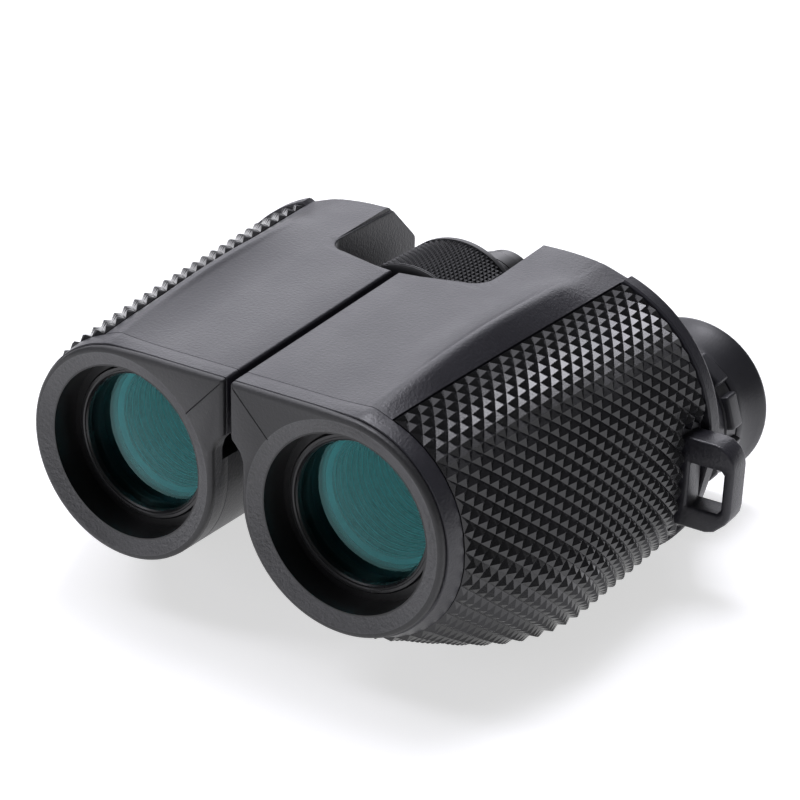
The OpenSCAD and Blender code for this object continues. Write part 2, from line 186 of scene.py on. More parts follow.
def makeObject(name, points, faces, looks=(), indices=None, smooth=30):
    mesh = bpy.data.meshes.new(name)
    mesh.from_pydata([tuple(p) for p in points], [], faces)
    for look in looks:
        mesh.materials.append(materials[look])
    if indices:
        mesh.polygons.foreach_set("material_index", indices)
    obj = bpy.data.objects.new(name, mesh)
    bpy.context.scene.collection.objects.link(obj)
    settle(obj, smooth)
    return obj


def settle(obj, smooth=30):
    work = bmesh.new()
    work.from_mesh(obj.data)
    bmesh.ops.recalc_face_normals(work, faces=work.faces)
    work.to_mesh(obj.data)
    work.free()
    obj.data.polygons.foreach_set("use_smooth", [smooth > 0] * len(obj.data.polygons))
    if smooth > 0:
        obj.data.set_sharp_from_angle(angle=math.radians(smooth))
    obj.data.update()


def bake(obj):
    graph = bpy.context.evaluated_depsgraph_get()
    mesh = bpy.data.meshes.new_from_object(obj.evaluated_get(graph))
    obj.modifiers.clear()
    obj.data = mesh
    return obj


def cutAway(obj, cutters):
    for cutter in cutters:
        step = obj.modifiers.new("cut", "BOOLEAN")
        step.operation, step.solver, step.object = "DIFFERENCE", "EXACT", cutter
        step.material_mode = "TRANSFER"
    bake(obj)
    for cutter in cutters:
        bpy.data.objects.remove(cutter)
    settle(obj)
    return obj


def mirrored(obj, name):
    mesh = obj.data.copy()
    mesh.name = name
    twin = bpy.data.objects.new(name, mesh)
    bpy.context.scene.collection.objects.link(twin)
    for v in mesh.vertices:
        v.co.x = -v.co.x
    mesh.flip_normals()
    mesh.update()
    return twin


# Every pair of pieces is made on the left and mirrored; each takes over the named nodes on its side
def handOver(left, name, nodes):
    right = mirrored(left, name + "_right")
    for side, piece in (("left", left), ("right", right)):
        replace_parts(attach(piece, side + "_half"), *[node + "_" + side for node in nodes])


def joined(name, parts):
    base = bpy.data.meshes.new(name)
    work = bmesh.new()
    slots = []
    for part in parts:
        start = len(work.faces)
        work.from_mesh(part.data)
        work.faces.ensure_lookup_table()
        table = []
        for m in part.data.materials:
            if m not in slots:
                slots.append(m)
            table.append(slots.index(m))
        for f in work.faces[start:]:
            f.material_index = table[f.material_index] if table else 0
        bpy.data.objects.remove(part)
    work.to_mesh(base)
    work.free()
    for m in slots:
        base.materials.append(m)
    obj = bpy.data.objects.new(name, base)
    bpy.context.scene.collection.objects.link(obj)
    return obj


def loft(name, rings, look, smooth=30):
    n = len(rings[0])
    points = [p for ring in rings for p in ring]
    faces = [tuple(range(n)), tuple(range(len(points) - 1, len(points) - n - 1, -1))]
    for i in range(len(rings) - 1):
        for k in range(n):
            a, b = i * n + k, i * n + (k + 1) % n
            faces.append((a, b, b + n, a + n))
    return makeObject(name, points, faces, [look], None, smooth)


# profile is a closed loop of (radius, distance from the front); a radius of 0 lies on the axis
def lathe(name, axis, profile, looks, kinds=None, segments=128, smooth=30):
    points, rows, faces, indices = [], [], [], []
    for radius, y in profile:
        if radius == 0:
            rows.append([len(points)] * segments)
            points.append(place(axis[0], y, axis[1]))
            continue
        rows.append(list(range(len(points), len(points) + segments)))
        for k in range(segments):
            a = 2 * math.pi * k / segments
            points.append(place(axis[0] + radius * math.cos(a), y, axis[1] + radius * math.sin(a)))
    for i, row in enumerate(rows):
        after = rows[(i + 1) % len(rows)]
        if row[0] == row[1] and after[0] == after[1]:
            continue
        for k in range(segments):
            j = (k + 1) % segments
            loop = []
            for v in (row[k], row[j], after[j], after[k]):
                if v not in loop:
                    loop.append(v)
            faces.append(loop)
            indices.append(kinds[i] if kinds else 0)
    return makeObject(name, points, faces, looks, indices, smooth)


# Shader groups


def newGroup(kind, name, inputs, outputs):
    group = bpy.data.node_groups.new(name, kind)
    for title, socket, value in inputs:
        item = group.interface.new_socket(title, in_out="INPUT", socket_type=socket)
        if value is not None:
            item.default_value = value
    for title, socket in outputs:
        group.interface.new_socket(title, in_out="OUTPUT", socket_type=socket)
    return group, group.nodes.new("NodeGroupInput"), group.nodes.new("NodeGroupOutput")


def addNode(tree, kind, settings=None, values=None):
    node = tree.nodes.new(kind)
    for key, value in (settings or {}).items():
        setattr(node, key, value)
    for key, value in (values or {}).items():
        node.inputs[key].default_value = value
    return node


floatIn, colorIn, vectorIn = "NodeSocketFloat", "NodeSocketColor", "NodeSocketVector"


# Moulded surface: fine grain as relief, broad mottling in colour and roughness, and pale specks of dust
def makeGrainGroup():
    group, start, end = newGroup("ShaderNodeTree", "mouldedSkin", [
        ("Base", colorIn, (0.03, 0.03, 0.03, 1)), ("Grain Scale", floatIn, 2200.0),
        ("Grain Height", floatIn, 0.00003), ("Roughness", floatIn, 0.45),
        ("Rough Spread", floatIn, 0.12), ("Mottle", floatIn, 0.25), ("Dust", floatIn, 0.04),
    ], [("Color", colorIn), ("Roughness", floatIn), ("Normal", vectorIn)])
    link = group.links.new
    coords = addNode(group, "ShaderNodeTexCoord")
    grain = addNode(group, "ShaderNodeTexNoise", None, {"Detail": 3.0, "Roughness": 0.6})
    link(coords.outputs["Object"], grain.inputs["Vector"])
    link(start.outputs["Grain Scale"], grain.inputs["Scale"])
    broad = addNode(group, "ShaderNodeTexNoise", None, {"Scale": 55.0, "Detail": 4.0, "Roughness": 0.65})
    link(coords.outputs["Object"], broad.inputs["Vector"])
    specks = addNode(group, "ShaderNodeTexNoise", None, {"Scale": 1400.0, "Detail": 1.0})
    link(coords.outputs["Object"], specks.inputs["Vector"])
    dots = addNode(group, "ShaderNodeMapRange", None, {"From Min": 0.68, "From Max": 0.76})
    link(specks.outputs["Fac"], dots.inputs["Value"])
    dusty = addNode(group, "ShaderNodeMath", {"operation": "MULTIPLY"})
    link(dots.outputs["Result"], dusty.inputs[0])
    link(start.outputs["Dust"], dusty.inputs[1])
    tone = addNode(group, "ShaderNodeMapRange", None, {"From Min": 0.3, "From Max": 0.7, "To Min": -1.0})
    link(broad.outputs["Fac"], tone.inputs["Value"])
    shift = addNode(group, "ShaderNodeMath", {"operation": "MULTIPLY_ADD"}, {2: 1.0})
    link(tone.outputs["Result"], shift.inputs[0])
    link(start.outputs["Mottle"], shift.inputs[1])
    shaded = addNode(group, "ShaderNodeVectorMath", {"operation": "SCALE"})
    link(start.outputs["Base"], shaded.inputs[0])
    link(shift.outputs[0], shaded.inputs["Scale"])
    blend = addNode(group, "ShaderNodeMix", {"data_type": "RGBA"}, {"B": (0.35, 0.35, 0.36, 1)})
    link(dusty.outputs[0], blend.inputs["Factor"])
    link(shaded.outputs[0], blend.inputs["A"])
    link(blend.outputs["Result"], end.inputs["Color"])
    rough = addNode(group, "ShaderNodeMath", {"operation": "MULTIPLY_ADD"})
    link(tone.outputs["Result"], rough.inputs[0])
    link(start.outputs["Rough Spread"], rough.inputs[1])
    link(start.outputs["Roughness"], rough.inputs[2])
    link(rough.outputs[0], end.inputs["Roughness"])
    relief = addNode(group, "ShaderNodeBump", None, {"Strength": 1.0})
    link(start.outputs["Grain Height"], relief.inputs["Distance"])
    link(grain.outputs["Fac"], relief.inputs["Height"])
    link(relief.outputs["Normal"], end.inputs["Normal"])
    return group


skinGroup = makeGrainGroup()


skinInputs = ("Grain Scale", "Grain Height", "Roughness", "Rough Spread", "Mottle", "Dust")


def skinMaterial(name, base, *values, metallic=0.0):
    material = bpy.data.materials.new(name)
    material.use_nodes = True
    tree = material.node_tree
    shader = tree.nodes["Principled BSDF"]
    shader.inputs["Metallic"].default_value = metallic
    shader.inputs["Specular IOR Level"].default_value = 0.5
    skin = tree.nodes.new("ShaderNodeGroup")
    skin.node_tree = skinGroup
    skin.inputs["Base"].default_value = (*base, 1)
    for key, value in zip(skinInputs, values):
        skin.inputs[key].default_value = value
    tree.links.new(skin.outputs["Color"], shader.inputs["Base Color"])
    tree.links.new(skin.outputs["Roughness"], shader.inputs["Roughness"])
    tree.links.new(skin.outputs["Normal"], shader.inputs["Normal"])
    return material


def glassMaterial(name, color, tint, ior):
    material = bpy.data.materials.new(name)
    material.use_nodes = True
    shader = material.node_tree.nodes["Principled BSDF"]
    shader.inputs["Base Color"].default_value = (*color, 1)
    shader.inputs["Transmission Weight"].default_value = 1.0
    shader.inputs["IOR"].default_value = ior
    shader.inputs["Roughness"].default_value = 0.01
    shader.inputs["Specular Tint"].default_value = (*tint, 1)
    return material


# Material name, base colour, grain scale, grain height, roughness, rough spread, mottle, dust
skins = {
    "housing": ("housingPlastic", (0.017, 0.0165, 0.022), 1900.0, 0.00008, 0.37, 0.05, 0.1, 0.02),
    "face": ("facePlastic", (0.013, 0.013, 0.0145), 1900.0, 0.00007, 0.47, 0.06, 0.15, 0.03),
    "band": ("rimBand", (0.06, 0.06, 0.063), 1500.0, 0.00022, 0.42, 0.08, 0.25, 0.08),
    # Painted shade: the recess material is a far darker copy of the housing plastic, put on bore walls, the
    # hinge cavity, the cover's recessed tube and the shelf behind the retaining ring.
    "recess": ("recessBlack", (0.004, 0.004, 0.0045), 2500.0, 0.00001, 0.38, 0.06, 0.2, 0.0),
    "rubber": ("gripRubber", (0.008, 0.008, 0.0095), 3000.0, 0.00001, 0.23, 0.08, 0.3, 0.02),
    "wheelRubber": ("wheelRubber", (0.012, 0.012, 0.014), 3000.0, 0.00002, 0.42, 0.08, 0.3, 0.04),
    "cup": ("cupPlastic", (0.016, 0.016, 0.02), 2400.0, 0.00003, 0.4, 0.07, 0.15, 0.02),
    "alloy": ("blackAlloy", (0.007, 0.007, 0.008), 1800.0, 0.00001, 0.3, 0.08, 0.2, 0.01),
    "groove": ("grooveBlack", (0.006, 0.01, 0.011), 1800.0, 0.00001, 0.4, 0.05, 0.2, 0.0),
    # Painted highlight: the crest material is a pale grey-teal base on the black baffle's thread crests and
    # bevel ring, standing in for light catching those edges.
    "crest": ("threadCrest", (0.55, 0.62, 0.62), 1800.0, 0.00001, 0.3, 0.05, 0.3, 0.0),
    "cell": ("cellBlack", (0.045, 0.055, 0.056), 1800.0, 0.00001, 0.32, 0.05, 0.2, 0.0),
}
materials = {look: skinMaterial(*values) for look, values in skins.items()}
steel = ("turnedSteel", (0.5, 0.5, 0.52), 2500.0, 0.00001, 0.32, 0.08, 0.1, 0.02)
materials["steel"] = skinMaterial(*steel, metallic=1.0)
materials["coated"] = glassMaterial("coatedGlass", (0.2, 0.62, 0.66), (0.3, 1.0, 0.98), 1.5)
materials["clear"] = glassMaterial("opticalGlass", (0.93, 0.97, 0.97), (1, 1, 1), 1.52)
slotLooks = {
    "housing_plastic": "housing", "grip_rubber": "rubber", "eyecup_plastic": "cup", "coated_glass": "coated",
    "optical_glass": "clear", "steel": "steel", "black_alloy": "alloy",
}
for row in frame["record"]["subparts"]:
    node = frame["nodes"][row["node"]]
    look = "alloy" if row["node"].startswith("bridge") else slotLooks[row["material_slot"]]
    if row["node"].startswith("objective_cell"):
        look = "cell"
    node.data.materials.clear()
    node.data.materials.append(materials[look])
    node.data.polygons.foreach_set("use_smooth", [True] * len(node.data.polygons))
    node.data.set_sharp_from_angle(angle=math.radians(25))
print("materials made")

# Stud pattern


# Raises every marked face into a sharp pyramid
def makeStudGroup():
    group, start, end = newGroup("GeometryNodeTree", "raiseStuds", [
        ("Geometry", "NodeSocketGeometry", None), ("Height", floatIn, 0.0008), ("Tip", floatIn, 0.06),
        ("Material", "NodeSocketMaterial", None),
    ], [("Geometry", "NodeSocketGeometry")])
    link = group.links.new
    mark = addNode(group, "GeometryNodeInputNamedAttribute", {"data_type": "BOOLEAN"}, {"Name": "stud"})
    raised = addNode(group, "GeometryNodeExtrudeMesh", {"mode": "FACES"}, {"Individual": True})
    link(start.outputs["Geometry"], raised.inputs["Mesh"])
    link(mark.outputs["Attribute"], raised.inputs["Selection"])
    link(start.outputs["Height"], raised.inputs["Offset Scale"])
    shrunk = addNode(group, "GeometryNodeScaleElements", {"domain": "FACE"})
    link(raised.outputs["Mesh"], shrunk.inputs["Geometry"])
    link(raised.outputs["Top"], shrunk.inputs["Selection"])
    link(start.outputs["Tip"], shrunk.inputs["Scale"])
    painted = addNode(group, "GeometryNodeSetMaterial")
    link(shrunk.outputs["Geometry"], painted.inputs["Geometry"])
    link(start.outputs["Material"], painted.inputs["Material"])
    link(painted.outputs["Geometry"], end.inputs["Geometry"])
    return group


studGroup = makeStudGroup()


def runNodes(obj, group, values):
    step = obj.modifiers.new(group.name, "NODES")
    step.node_group = group
    for item in group.interface.items_tree:
        if item.in_out == "INPUT" and item.name in values:
            step[item.identifier] = values[item.name]
    return bake(obj)


# Closed sheet of diamond cells; pointAt(u, v, out) gives a lattice point, u and v counted in half cells
def studSheet(name, rows, columns, pointAt, keep, depth, wrap=False):
    index, points = {}, []

    def vertex(u, v):
        if wrap:
            v %= columns
        if (u, v) not in index:
            index[(u, v)] = len(points)
            points.append(pointAt(u, v, 0.0))
        return index[(u, v)]

    faces = []
    for u in range(rows + 1):
        for v in range(columns if wrap else columns + 1):
            if (u + v) % 2 == 0 or not keep(u, v):
                continue
            corners = [(u - 1, v), (u, v + 1), (u + 1, v), (u, v - 1)]
            corners = [c for c in corners if 0 <= c[0] <= rows and (wrap or 0 <= c[1] <= columns)]
            loop = [vertex(*c) for c in corners]
            spots = [points[i] for i in loop]
            arms = [spot - spots[0] for spot in spots[1:]]
            area = sum(a.cross(b).length for a, b in zip(arms, arms[1:]))
            if len(loop) > 2 and area > (0.5 * mm) ** 2:
                faces.append(loop)
    used = len(points)
    back = [pointAt(u, v, -depth) for (u, v), i in sorted(index.items(), key=lambda item: item[1])]
    edges = dict.fromkeys((a, b) for loop in faces for a, b in zip(loop, loop[1:] + loop[:1]))
    walls = [(b, a, a + used, b + used) for a, b in edges if (b, a) not in edges]
    every = faces + [[i + used for i in reversed(loop)] for loop in faces] + walls
    mesh = bpy.data.meshes.new(name)
    mesh.from_pydata([tuple(p) for p in points + back], [], every)
    mesh.update()
    if mesh.polygons[0].normal.dot(points[0] - back[0]) < 0:
        mesh.flip_normals()
    mark = mesh.attributes.new("stud", "BOOLEAN", "FACE")
    mark.data.foreach_set("value", [i < len(faces) for i in range(len(every))])
    obj = bpy.data.objects.new(name, mesh)
    bpy.context.scene.collection.objects.link(obj)
    return obj


# Rubber grips

grip = {
    "rows": 42, "height": 0.72, "tip": 0.05, "from": 4.75, "to": 69.9, "arcSteps": 376, "arcStep": 0.5,
    "lugFrom": 62.6, "lugLow": -18.5, "lugHigh": 1.5, "lugInner": 44.0,
}
halfCell = (grip["to"] - grip["from"]) / grip["rows"]
bandCache = {}


# Arc length along the band under the rubber, as (length so far, angle, point) in small steps
def bandAt(u):
    if u not in bandCache:
        y = grip["from"] + u * halfCell
        circles = circlesAt(y)
        trail, length, last = [], 0.0, None
        for i in range(grip["arcSteps"]):
            a = shell["gripTop"] - 1 - i * grip["arcStep"]
            p = hullPoint(circles, a, 0.0)
            if last:
                length += math.dist(p, last)
            trail.append((length, a, p))
            last = p
        bandCache[u] = trail
    return bandCache[u]


def gripPoint(u, v, out):
    trail = bandAt(u)
    want = min(v * halfCell, trail[-1][0])
    i = 1
    while i < len(trail) - 1 and trail[i][0] < want:
        i += 1
    a, b = trail[i - 1], trail[i]
    t = clamp01((want - a[0]) / max(1e-9, b[0] - a[0]))
    angle, spot = math.radians(mix(a[1], b[1], t)), mixPoint(a[2], b[2], t)
    x, z = spot[0] + out * math.cos(angle), spot[1] + out * math.sin(angle)
    return place(x, grip["from"] + u * halfCell, z)


gripColumns = int(max(bandAt(u)[-1][0] for u in range(grip["rows"] + 1)) / halfCell) + 1


# A cell is left out where the strap lug stands, and past the end of the band
def gripKeep(u, v):
    p = gripPoint(u, v, 0.0)
    z = (p.z - lensMiddle.z) / mm
    inHeight = grip["lugLow"] < z < grip["lugHigh"] and p.x > grip["lugInner"] * mm
    inLug = inHeight and grip["from"] + u * halfCell > grip["lugFrom"]
    return not inLug and (v - 1) * halfCell < bandAt(u)[-1][0]


rubberLeft = studSheet("rubber_left", grip["rows"], gripColumns, gripPoint, gripKeep, shell["seat"] - 0.05)
runNodes(rubberLeft, studGroup, {
    "Height": grip["height"] * mm, "Tip": grip["tip"], "Material": materials["rubber"],
})
handOver(rubberLeft, "rubber", ["rubber_grip"])
print("rubber grips made")

# Housings

notch = {
    "half": 16.5, "radius": 15.0, "front": 49.3, "corner": 4.0,
    "shoulder": 56.0, "chamfer": 0.4, "end": 110.0,
}


# The opening for the wheel: a stack of outlines, the upper ones grown into a chamfer
def notchCutter():
    def outline(grow):
        w, r = notch["half"] + grow, notch["corner"]
        c = w - r
        arc = [math.radians(a) for a in range(180, 271, 9)]
        left = [(-c + r * math.cos(a), notch["shoulder"] - grow + r * math.sin(a)) for a in arc]
        right = [(-x, y) for x, y in reversed(left)]
        back, tip = notch["front"] + 0.7 - grow, notch["front"] - grow
        return [(-w, notch["end"])] + left + [(-5, back), (0, tip), (5, back)] + right + [(w, notch["end"])]

    def height(y, level):
        if level is None:
            return centre[1]
        return shell["topFront"] + shell["topSlope"] * min(y, shellRear) + level

    c = notch["chamfer"]
    steps = ((0, None), (0, -c), (c * 0.35, -0.12), (c, 0.0), (c * 1.6, 6.0))
    rings = [[place(x, y, height(y, level)) for x, y in outline(grow)] for grow, level in steps]
    return loft("notchCut", rings, "housing")


def barCutter(axis, y0, y1, radius, look, segments=96):
    return lathe("barCut", axis, [(0, y0), (radius, y0), (radius, y1), (0, y1)], [look], None, segments)


# Each station: distance from the front, inset all round, how far the band under the grip stands out
lip, seat, end = shell["studs"], -shell["seat"], shell["gripTo"]
stations = [(1.2, 0.14, 0), (1.3, 0, 0), (2.6, 0, 0), (4.3, 0, 0), (4.55, 0.06, 0), (4.62, 0, seat)]
stations += [(y, 0, seat) for y in range(6, int(end), 2)]
stations += [(end - 0.02, 0, seat), (end, 0, lip - 0.3), (end + 0.3, 0, lip), (shellRear - 0.3, 0, lip)]
stations += [(shellRear - 0.1, 0.16, lip), (shellRear + 0.1, 0.16, lip), (shellRear + 0.3, 0, lip * 0.97)]
stations += [(y, 0, lip * (1 - closing(y))) for y in (74, 75.5, 77, 78.5, 80, 81.2)]
stations += [(81.8, 0.15, 0), (coverRear, 0.5, 0)]
rings = [[place(x, y, z) for x, z in sectionAt(y, inset, depth)] for y, inset, depth in stations]
housing = loft("shell_left", rings, "housing")
# Each bore: axis, start, end, radius
bores = [
    (objective, -1, 6.9, 16.4), (objective, 6, 14.05, 15.0), (objective, 13, 48, 13.45),
    (eyepiece, 70, 90, 12.0), (centre, 3, 52, 5.9),
]
cutters = [notchCutter(), barCutter(centre, 51.5, notch["end"], notch["radius"], "housing", 128)]
# The bore walls take the recess material: painted shade inside the objective, eyepiece and hinge bores.
cutAway(housing, cutters + [barCutter(*bore, "recess") for bore in bores])
handOver(housing, "shell", ["housing", "rear_cover"])
print("housings made")

# Front covers

cover = {"thick": 1.2, "crease": 18.1, "recess": 15.6, "depth": 1.15, "tube": 17.2, "tubeEnd": 6.7}
coverStations = [(0.0, 0.75), (0.06, 0.5), (0.2, 0.22), (0.42, 0.06), (0.75, 0.0), (1.1, 0.0)]
coverStations.append((cover["thick"], 0.1))
rings = [[place(x, y, z) for x, z in sectionAt(0, inset, 0)] for y, inset in coverStations]
plate = loft("plate", rings, "face")
edge, hollow, thick = cover["crease"], cover["recess"], cover["thick"]
# The cone's sloping band takes the band material; its recessed wall takes the recess material, painted shade.
cone = lathe("coneCut", objective, [
    (0, -1), (edge + 1.2, -1), (edge + 0.35, -0.03), (edge + 0.1, 0.06), (edge - 0.2, 0.25),
    (hollow + 0.15, cover["depth"]), (hollow, cover["depth"] + 0.2), (hollow, 8), (0, 8),
], ["band", "recess"], [0, 0, 0, 0, 0, 0, 1, 1, 1], 160)
crease = []
for x, z in ((shell["gap"] - 0.3, topHeight(0) + 0.1), (10.05, 9.75)):
    crease.append([place(x - 0.12, -0.05, z - 0.12), place(x, 0.13, z), place(x + 0.12, -0.05, z + 0.12)])
cutAway(plate, [loft("creaseCut", crease, "face"), cone])
# The tube behind the cover's opening takes the recess material, painted shade.
tubePart = lathe("tube", objective, [
    (cover["tube"], thick - 0.1), (cover["tube"], cover["tubeEnd"]),
    (hollow, cover["tubeEnd"]), (hollow, thick - 0.1),
], ["recess"], None, 160)
coverLeft = joined("front_left", [plate, tubePart])
settle(coverLeft)
handOver(coverLeft, "front", ["front_cover"])
print("front covers made")

# Retaining rings

keeper = {"outer": 14.05, "inner": 12.5, "front": 5.9, "rear": 7.4, "shelf": 6.65}
o, f = keeper["outer"], keeper["front"]
keeperLeft = lathe("keeper_left", objective, [
    (o, f + 0.3), (o - 0.3, f), (o - 0.75, f),
    (o - 0.95, f + 0.15), (o - 1.15, f + 0.15), (o - 1.35, f + 0.05),
    (keeper["inner"], f + 0.35), (keeper["inner"] + 0.05, keeper["rear"]), (o, keeper["rear"]),
], ["alloy"], None, 160)
low, high = keeper["shelf"], keeper["shelf"] + 0.15
# The shelf behind the retaining ring takes the recess material, painted shade.
shelf = lathe("shelf", objective, [(hollow, low), (hollow, high), (o, high), (o, low)], ["recess"], None, 160)
keeperLeft = joined("keeper_left", [keeperLeft, shelf])
settle(keeperLeft)
handOver(keeperLeft, "keeper", ["retaining_ring"])
print("retaining rings made")

# Light baffles behind the objectives

baffle = {
    "front": 14.1, "rear": 36.0, "outer": 13.4, "pitch": 1.45, "crest": 11.0, "depth": 0.6, "taper": 0.09,
    "firstCrest": 15.0, "lastCrest": 34.8,
}
# Kind 1 is the crest material, a painted highlight on each thread crest and on the bevel ring before the
# first crest; kind 0 is the groove black.
profile, kinds = [(baffle["outer"], baffle["front"]), (baffle["outer"], baffle["rear"])], [0, 0]
count = int((baffle["lastCrest"] - baffle["firstCrest"]) / baffle["pitch"])
for i in range(count, -1, -1):
    y, r = baffle["firstCrest"] + i * baffle["pitch"], baffle["crest"] - i * baffle["taper"]
    deep = baffle["depth"]
    profile += [(r + deep, y + 1.0), (r + 0.02, y + 0.42), (r, y + 0.2), (r + deep * 0.9, y)]
    kinds += [0, 1, 0, 0]
profile += [(11.3, baffle["firstCrest"] - 0.15), (12.0, baffle["front"])]
kinds += [1, 0]
baffleLeft = lathe("baffle_left", objective, profile, ["groove", "crest"], kinds, 128, 20)
handOver(baffleLeft, "baffle", ["baffle_tube"])
print("light baffles made")

# Objective lenses: one clear shell stands for the cemented pair

glass = {"edge": 13.5, "front": 7.66, "sag": 1.45, "thick": 1.1, "steps": 14}


def bowlHeight(r):
    k = (glass["edge"] ** 2 + glass["sag"] ** 2) / (2 * glass["sag"])
    return math.sqrt(k * k - r * r) - (k - glass["sag"])


ladder = [glass["edge"] * i / glass["steps"] for i in range(glass["steps"] + 1)]
rear = glass["front"] + glass["thick"]
profile = [(r, glass["front"] - bowlHeight(r)) for r in ladder]
profile += [(r, rear - bowlHeight(r)) for r in reversed(ladder)]
objectiveLeft = lathe("objective_left", objective, profile, ["coated"], None, 160, 40)
handOver(objectiveLeft, "objective", ["crown_lens", "flint_lens"])
print("objectives made")

# Focus wheel

knurl = {"around": 134, "height": 0.5, "tip": 0.12, "from": 0.5, "to": 2.1, "bore": 12.0}
knurlBase = wheelRadius - knurl["height"] - 0.03
knurlLow, knurlHigh = wheelFront + knurl["from"], wheelRear - knurl["to"]
knurlStep = 2 * math.pi * wheelRadius / knurl["around"]
knurlRows = int((knurlHigh - knurlLow) / knurlStep)


def knurlPoint(u, v, out):
    a = 2 * math.pi * v / knurl["around"]
    radius = knurlBase + out
    y = mix(knurlLow, knurlHigh, u / knurlRows)
    return place(centre[0] + radius * math.cos(a), y, centre[1] + radius * math.sin(a))


studs = studSheet("knurl", knurlRows, knurl["around"], knurlPoint, lambda u, v: True, 0.4, True)
runNodes(studs, studGroup, {
    "Height": knurl["height"] * mm, "Tip": knurl["tip"], "Material": materials["wheelRubber"],
})
edge, floorRadius, bore = wheelRadius - 0.02, knurlBase - 0.1, knurl["bore"]
tyre = lathe("tyre", centre, [
    (bore, wheelFront), (edge - 0.9, wheelFront), (edge - 0.2, wheelFront + 0.25), (edge, wheelFront + 0.6),
    (edge, knurlLow - 0.1), (floorRadius, knurlLow + 0.05), (floorRadius, knurlHigh - 0.05),
    (edge, knurlHigh + 0.1), (edge, wheelRear - 1.0), (edge - 0.15, wheelRear - 0.6),
    (edge - 0.7, wheelRear - 0.15), (edge - 1.1, wheelRear), (bore, wheelRear),
], ["wheelRubber"], None, 128)
tyre = joined("wheel_grip", [tyre, studs])
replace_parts(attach(tyre, "focus_wheel"), "wheel_tyre")
print("wheel made")

# Eyecups and their grip rings

cups = {
    "ringFront": 91.4, "ringRear": 96.0, "bore": 10.55, "cupFront": 96.1, "rear": 104.6, "radius": 16.3,
    "blocks": 10, "blockHalf": 3.3, "blockLow": 12.6, "blockHigh": 14.95, "blockRound": 0.55,
}


# Copies of one block turned round an axis along the body
def makeBlockGroup():
    group, start, end = newGroup("GeometryNodeTree", "ringOfBlocks", [
        ("Geometry", "NodeSocketGeometry", None), ("Count", "NodeSocketInt", 10), ("Step", floatIn, 0.6),
        ("Centre", vectorIn, (0, 0, 0)), ("Material", "NodeSocketMaterial", None),
    ], [("Geometry", "NodeSocketGeometry")])
    link = group.links.new
    line = addNode(group, "GeometryNodeMeshLine", None, {"Offset": (0, 0, 0)})
    link(start.outputs["Count"], line.inputs["Count"])
    number = addNode(group, "GeometryNodeInputIndex")
    turn = addNode(group, "ShaderNodeMath", {"operation": "MULTIPLY"})
    link(number.outputs[0], turn.inputs[0])
    link(start.outputs["Step"], turn.inputs[1])
    spin = addNode(group, "ShaderNodeCombineXYZ")
    link(turn.outputs[0], spin.inputs["Y"])
    copies = addNode(group, "GeometryNodeInstanceOnPoints")
    link(line.outputs["Mesh"], copies.inputs["Points"])
    link(start.outputs["Geometry"], copies.inputs["Instance"])
    link(spin.outputs[0], copies.inputs["Rotation"])
    real = addNode(group, "GeometryNodeRealizeInstances")
    link(copies.outputs["Instances"], real.inputs["Geometry"])
    moved = addNode(group, "GeometryNodeTransform")
    link(real.outputs["Geometry"], moved.inputs["Geometry"])
    link(start.outputs["Centre"], moved.inputs["Translation"])
    painted = addNode(group, "GeometryNodeSetMaterial")
    link(moved.outputs["Geometry"], painted.inputs["Geometry"])
    link(start.outputs["Material"], painted.inputs["Material"])
    link(painted.outputs["Geometry"], end.inputs["Geometry"])
    return group


blockGroup = makeBlockGroup()


def roundedBlock(name, low, high, bevel):
    work = bmesh.new()
    bmesh.ops.create_cube(work, size=1.0)
    for v in work.verts:
        v.co = Vector([mix(low[k], high[k], v.co[k] + 0.5) * mm for k in range(3)])
    bmesh.ops.bevel(work, geom=list(work.edges), offset=bevel * mm, segments=3, profile=0.6, affect="EDGES")
    mesh = bpy.data.meshes.new(name)
    work.to_mesh(mesh)
    work.free()
    obj = bpy.data.objects.new(name, mesh)
    bpy.context.scene.collection.objects.link(obj)
    settle(obj, 60)
    return obj


for side, sign in sides.items():
    axis = (eyepiece[0] * sign, eyepiece[1])
    a, b, bore = cups["ringFront"], cups["ringRear"], cups["bore"]
    ring = lathe("ring", axis, [
        (bore, a), (13.4, a), (13.8, a + 0.2), (13.8, b - 0.3), (13.6, b), (bore, b),
    ], ["cup"])
    low = (-cups["blockHalf"], a + 0.35, cups["blockLow"])
    high = (cups["blockHalf"], b - 0.35, cups["blockHigh"])
    block = roundedBlock("block", low, high, cups["blockRound"])
    runNodes(block, blockGroup, {
        "Count": cups["blocks"], "Step": 2 * math.pi / cups["blocks"],
        "Centre": tuple(place(axis[0], 0, axis[1])), "Material": materials["cup"],
    })
    gripRing = joined("cup_ring_" + side, [ring, block])
    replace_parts(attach(gripRing, side + "_cup_ring"), "eyecup_ring_" + side)
    c, d, r = cups["cupFront"], cups["rear"], cups["radius"]
    bell = lathe("cup_" + side, axis, [
        (bore, c), (13.9, c), (14.15, c + 0.25), (14.3, c + 1.6), (14.55, c + 2.9), (15.0, c + 4.4),
        (15.6, c + 6.0), (r - 0.08, c + 7.3), (r, c + 7.8), (r - 0.12, c + 8.2), (r - 0.5, d), (r - 1.0, d),
        (14.8, d - 0.25), (14.2, d - 0.9), (13.4, d - 2.2), (12.7, d - 3.8), (12.2, d - 5.1), (bore, d - 6.1),
    ], ["cup"], None, 128, 40)
    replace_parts(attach(bell, side + "_cup"), "eyecup_" + side)
print("eyecups made")

# Strap lugs

